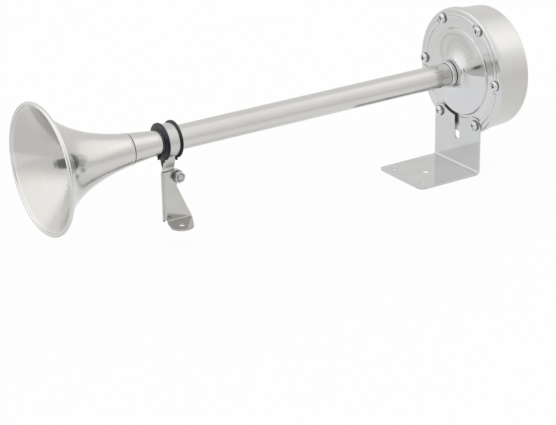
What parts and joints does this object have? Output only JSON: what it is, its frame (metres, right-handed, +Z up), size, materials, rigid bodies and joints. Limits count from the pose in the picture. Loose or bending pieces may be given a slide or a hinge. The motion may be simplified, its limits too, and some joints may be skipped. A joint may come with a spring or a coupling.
{
  "type": "car air horn",
  "caption": "Single long trumpet horn on a round diaphragm drum, with a folded foot under the drum and a rubber-lined clamp foot near the bell.",
  "frame": {"origin": "midway between the two bolt holes of the rear foot, on its underside", "axes": "+X along the horn from the bell to the drum, +Z up from the feet, +Y to the far side"},
  "size_m": [0.419, 0.1052, 0.1337],
  "materials": {
    "bell": "satin",
    "tube": "satin",
    "tube_collar": "polished",
    "clamp_liner": "matte",
    "clamp_band": "satin",
    "front_bracket": "satin",
    "clamp_bolt": "bright",
    "clamp_washer": "bright",
    "clamp_nut": "bright",
    "front_cover": "polished",
    "rear_can": "satin",
    "cover_screws": "bright",
    "lock_washers": "dull",
    "rear_bracket": "polished",
    "front_gasket": "matte",
    "diaphragm": "satin",
    "rear_gasket": "matte",
    "flange_ring": "plain",
    "armature": "plain",
    "armature_washer": "plain",
    "armature_nut": "plain",
    "coil_bobbin": "matte",
    "coil_winding": "enamelled copper",
    "magnet_yoke": "plain",
    "pole_core": "plain",
    "core_nut": "plain",
    "contact_base": "moulded",
    "moving_arm": "plain",
    "contact_spacer": "moulded",
    "fixed_arm": "plain",
    "contact_points": "plain",
    "contact_pusher": "ceramic",
    "contact_rivets": "plain",
    "adjuster_screw": "plain",
    "adjuster_nut": "plain",
    "lead_grommet": "matte"
  },
  "bodies": {
    "root": {"bell": "bell", "tube": "tube", "tube_collar": "tube_collar", "clamp_liner": "clamp_liner", "clamp_band": "clamp_band", "front_bracket": "front_bracket", "clamp_bolt": "clamp_bolt", "clamp_washer": "clamp_washer", "clamp_nut": "clamp_nut", "front_cover": "front_cover", "rear_can": "rear_can", "cover_screws": "cover_screws", "lock_washers": "lock_washers", "rear_bracket": "rear_bracket", "front_gasket": "front_gasket", "diaphragm": "diaphragm", "rear_gasket": "rear_gasket", "flange_ring": "flange_ring", "armature": "armature", "armature_washer": "armature_washer", "armature_nut": "armature_nut", "coil_bobbin": "coil_bobbin", "coil_winding": "coil_winding", "magnet_yoke": "magnet_yoke", "pole_core": "pole_core", "core_nut": "core_nut", "contact_base": "contact_base", "moving_arm": "moving_arm", "contact_spacer": "contact_spacer", "fixed_arm": "fixed_arm", "contact_points": "contact_points", "contact_pusher": "contact_pusher", "contact_rivets": "contact_rivets", "adjuster_screw": "adjuster_screw", "adjuster_nut": "adjuster_nut", "lead_grommet": "lead_grommet"}
  },
  "joints": []
}
